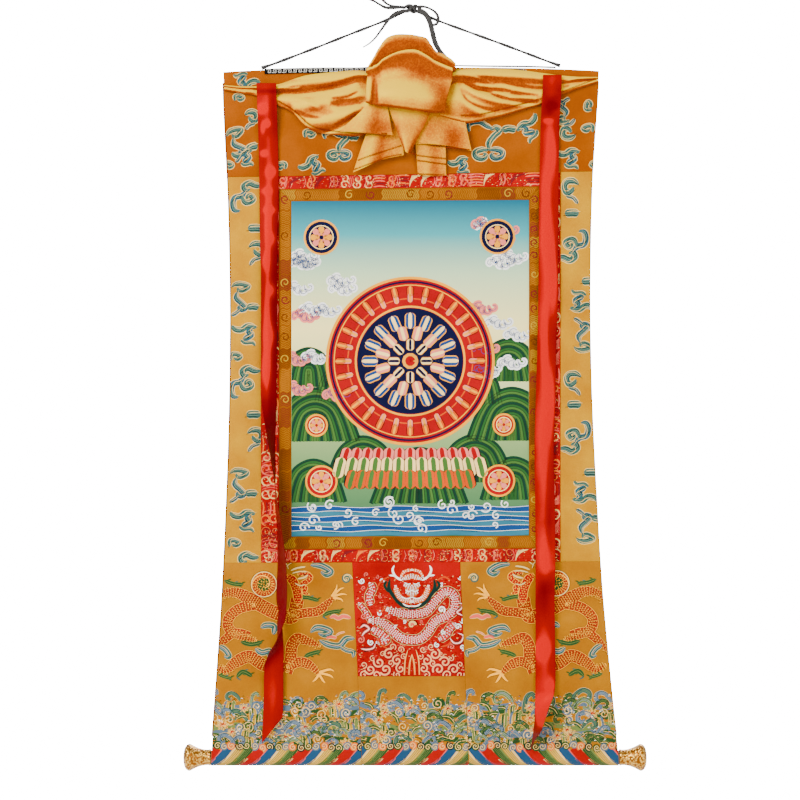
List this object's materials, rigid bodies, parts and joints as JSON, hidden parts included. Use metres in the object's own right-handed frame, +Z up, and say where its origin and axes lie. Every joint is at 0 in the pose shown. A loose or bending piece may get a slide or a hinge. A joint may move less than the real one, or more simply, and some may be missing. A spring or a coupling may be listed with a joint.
{
  "type": "thangka scroll painting with its bottom roller",
  "caption": "Hanging scroll: a painted canvas framed in brocade, with a gathered silk cover, hanging ribbons, a tied hanging band and a roller with metal knobs.",
  "frame": {"origin": "the hanging point, at the knot of the woven hanging band", "axes": "+Z up, +X to the viewer's right, the painted front faces -Y"},
  "size_m": [0.5811, 0.0615, 0.9815],
  "materials": {
    "canvas": "painted cotton canvas, matte",
    "cloud_brocade": "ochre gold satin brocade with green clouds",
    "dragon_brocade": "ochre gold satin brocade with dragons and waves",
    "gold_brocade": "dull gold brocade",
    "red_brocade": "red brocade with pale figures",
    "lining": "plain dark red cotton",
    "silk": "yellow figured silk, glossy",
    "ribbon": "red satin, glossy",
    "band": "black woven band flecked with white",
    "wood": "plain turned wood",
    "gold_metal": "embossed gilt metal"
  },
  "bodies": {
    "root": {"painting_canvas": "canvas", "gold_strip_top": "gold_brocade", "gold_strip_bottom": "gold_brocade", "gold_strip_left": "gold_brocade", "gold_strip_right": "gold_brocade", "red_strip_top": "red_brocade", "red_strip_bottom": "red_brocade", "red_strip_left": "red_brocade", "red_strip_right": "red_brocade", "top_panel": "cloud_brocade", "side_panel_left": "cloud_brocade", "side_panel_right": "cloud_brocade", "lower_panel_left": "dragon_brocade", "lower_panel_centre": "dragon_brocade", "lower_panel_right": "dragon_brocade", "door_panel": "red_brocade", "lining": "lining", "veil": "silk", "ribbon_left": "ribbon", "ribbon_right": "ribbon", "top_tape": "band", "string_left": "band", "string_right": "band", "loop_left": "band", "loop_right": "band", "tail_left": "band", "tail_right": "band", "knot": "band", "bottom_roller": "wood", "knob_left": "gold_metal", "knob_right": "gold_metal"}
  },
  "joints": []
}
